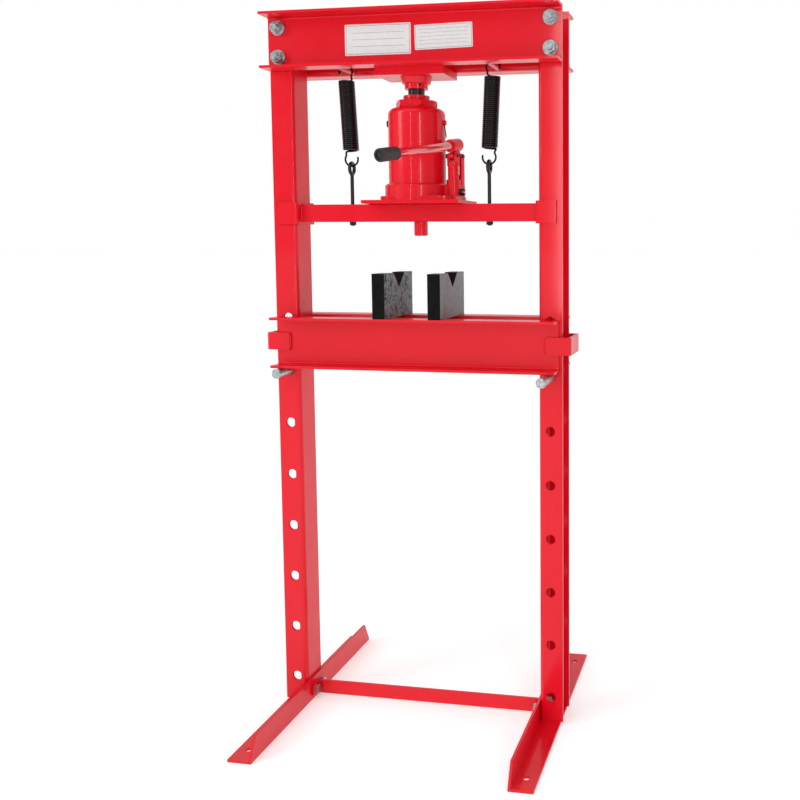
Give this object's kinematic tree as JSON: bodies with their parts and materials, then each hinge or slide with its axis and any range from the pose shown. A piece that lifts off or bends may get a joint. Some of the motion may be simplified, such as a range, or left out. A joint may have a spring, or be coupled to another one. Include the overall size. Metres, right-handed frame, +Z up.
{
  "type": "hydraulic shop press",
  "caption": "Floor-standing hydraulic shop press: H-frame of folded channels, pinned bed with V-blocks, sprung carriage and bottle jack.",
  "frame": {"origin": "on the floor at the middle of the two feet", "axes": "+Z up, +X to the operator's right across the frame, +Y away from the operator"},
  "size_m": [0.5606, 0.5, 1.255],
  "materials": {
    "red_paint": "gloss red enamel",
    "zinc": "bright zinc plate",
    "black_steel": "black oxide, satin",
    "spring_black": "black lacquer, gloss",
    "forged_steel": "ground faces with dark scale",
    "ram_steel": "polished, oiled",
    "rubber_black": "matt black",
    "label_white": "white film"
  },
  "bodies": {
    "frame": {"post_left": "red_paint", "post_right": "red_paint", "crossmember_front": "red_paint", "crossmember_rear": "red_paint", "head_plate": "red_paint", "spring_anchors": "red_paint", "head_bolts": "zinc", "head_nuts": "zinc", "head_washers": "zinc", "label_large": "label_white", "label_small": "label_white", "foot_left": "red_paint", "foot_right": "red_paint", "lower_brace": "red_paint", "foot_bolts": "zinc", "foot_nuts": "zinc", "spring_left": "spring_black", "spring_right": "spring_black"},
    "bed": {"bed_channel_front": "red_paint", "bed_channel_rear": "red_paint", "bed_strap_left": "red_paint", "bed_strap_right": "red_paint"},
    "block_left": {"v_block_left": "forged_steel"},
    "block_right": {"v_block_right": "forged_steel"},
    "pin_left": {"bed_pin_left": "zinc"},
    "pin_right": {"bed_pin_right": "zinc"},
    "carriage": {"press_bar": "red_paint", "guide_left": "red_paint", "guide_right": "red_paint", "jack_plate": "red_paint", "press_tip": "red_paint", "eye_bolts": "black_steel", "eye_bolt_nuts": "black_steel", "jack_base": "red_paint", "jack_tank": "red_paint", "jack_cylinder": "ram_steel", "jack_cap_nut": "red_paint", "jack_wiper_ring": "red_paint", "filler_plug": "rubber_black", "tank_stud": "red_paint", "tank_wire": "black_steel", "pump_barrel": "red_paint", "fulcrum_link": "red_paint", "fulcrum_pin": "black_steel"},
    "ram": {"jack_ram": "ram_steel", "jack_screw": "black_steel", "jack_saddle": "red_paint", "saddle_set_screw": "black_steel"},
    "plunger": {"pump_plunger": "red_paint", "plunger_pin": "black_steel"},
    "lever": {"handle_socket": "red_paint"},
    "handle": {"handle_tube": "red_paint", "handle_grip": "rubber_black"},
    "valve": {"release_valve": "black_steel"}
  },
  "joints": [
    {"name": "press_stroke", "type": "slide", "parent": "frame", "child": "carriage", "axis": [0, 0, 1], "range_m": [-0.083, 0], "stiffness_N_per_m": 3500, "springref_m": 0.07, "deforming": ["spring_left", "spring_right"]},
    {"name": "ram_extend", "type": "slide", "parent": "carriage", "child": "ram", "axis": [0, 0, 1], "range_m": [0, 0.083]},
    {"name": "handle_pump", "type": "hinge", "parent": "carriage", "child": "lever", "pos_m": [0.06774, 0.01161, 1.0075], "axis": [-0.9781, 0.2079, 0], "range_deg": [0, 25]},
    {"name": "plunger_slide", "type": "slide", "parent": "carriage", "child": "plunger", "axis": [0, 0, 1], "range_m": [0, 0.00817]},
    {"name": "handle_pull", "type": "slide", "parent": "lever", "child": "handle", "axis": [-0.2056, -0.9671, -0.1495], "range_m": [0, 0.03]},
    {"name": "release_valve_turn", "type": "hinge", "parent": "carriage", "child": "valve", "pos_m": [0.075, -0.006, 0.9445], "axis": [1, 0, 0], "range_deg": [0, 270]},
    {"name": "bed_lift", "type": "slide", "parent": "frame", "child": "bed", "axis": [0, 0, 1], "range_m": [0, 0.08]},
    {"name": "block_left_slide", "type": "slide", "parent": "bed", "child": "block_left", "axis": [-1, 0, 0], "range_m": [-0.018, 0.14]},
    {"name": "block_right_slide", "type": "slide", "parent": "bed", "child": "block_right", "axis": [1, 0, 0], "range_m": [-0.018, 0.14]},
    {"name": "pin_left_pull", "type": "slide", "parent": "frame", "child": "pin_left", "axis": [0, -1, 0], "range_m": [0, 0.125]},
    {"name": "pin_right_pull", "type": "slide", "parent": "frame", "child": "pin_right", "axis": [0, -1, 0], "range_m": [0, 0.1]}
  ],
  "couplings": [
    {"joint": "ram_extend", "follows": "press_stroke", "ratio": -1},
    {"joint": "plunger_slide", "follows": "handle_pump", "m_per_rad": 0.0187}
  ]
}
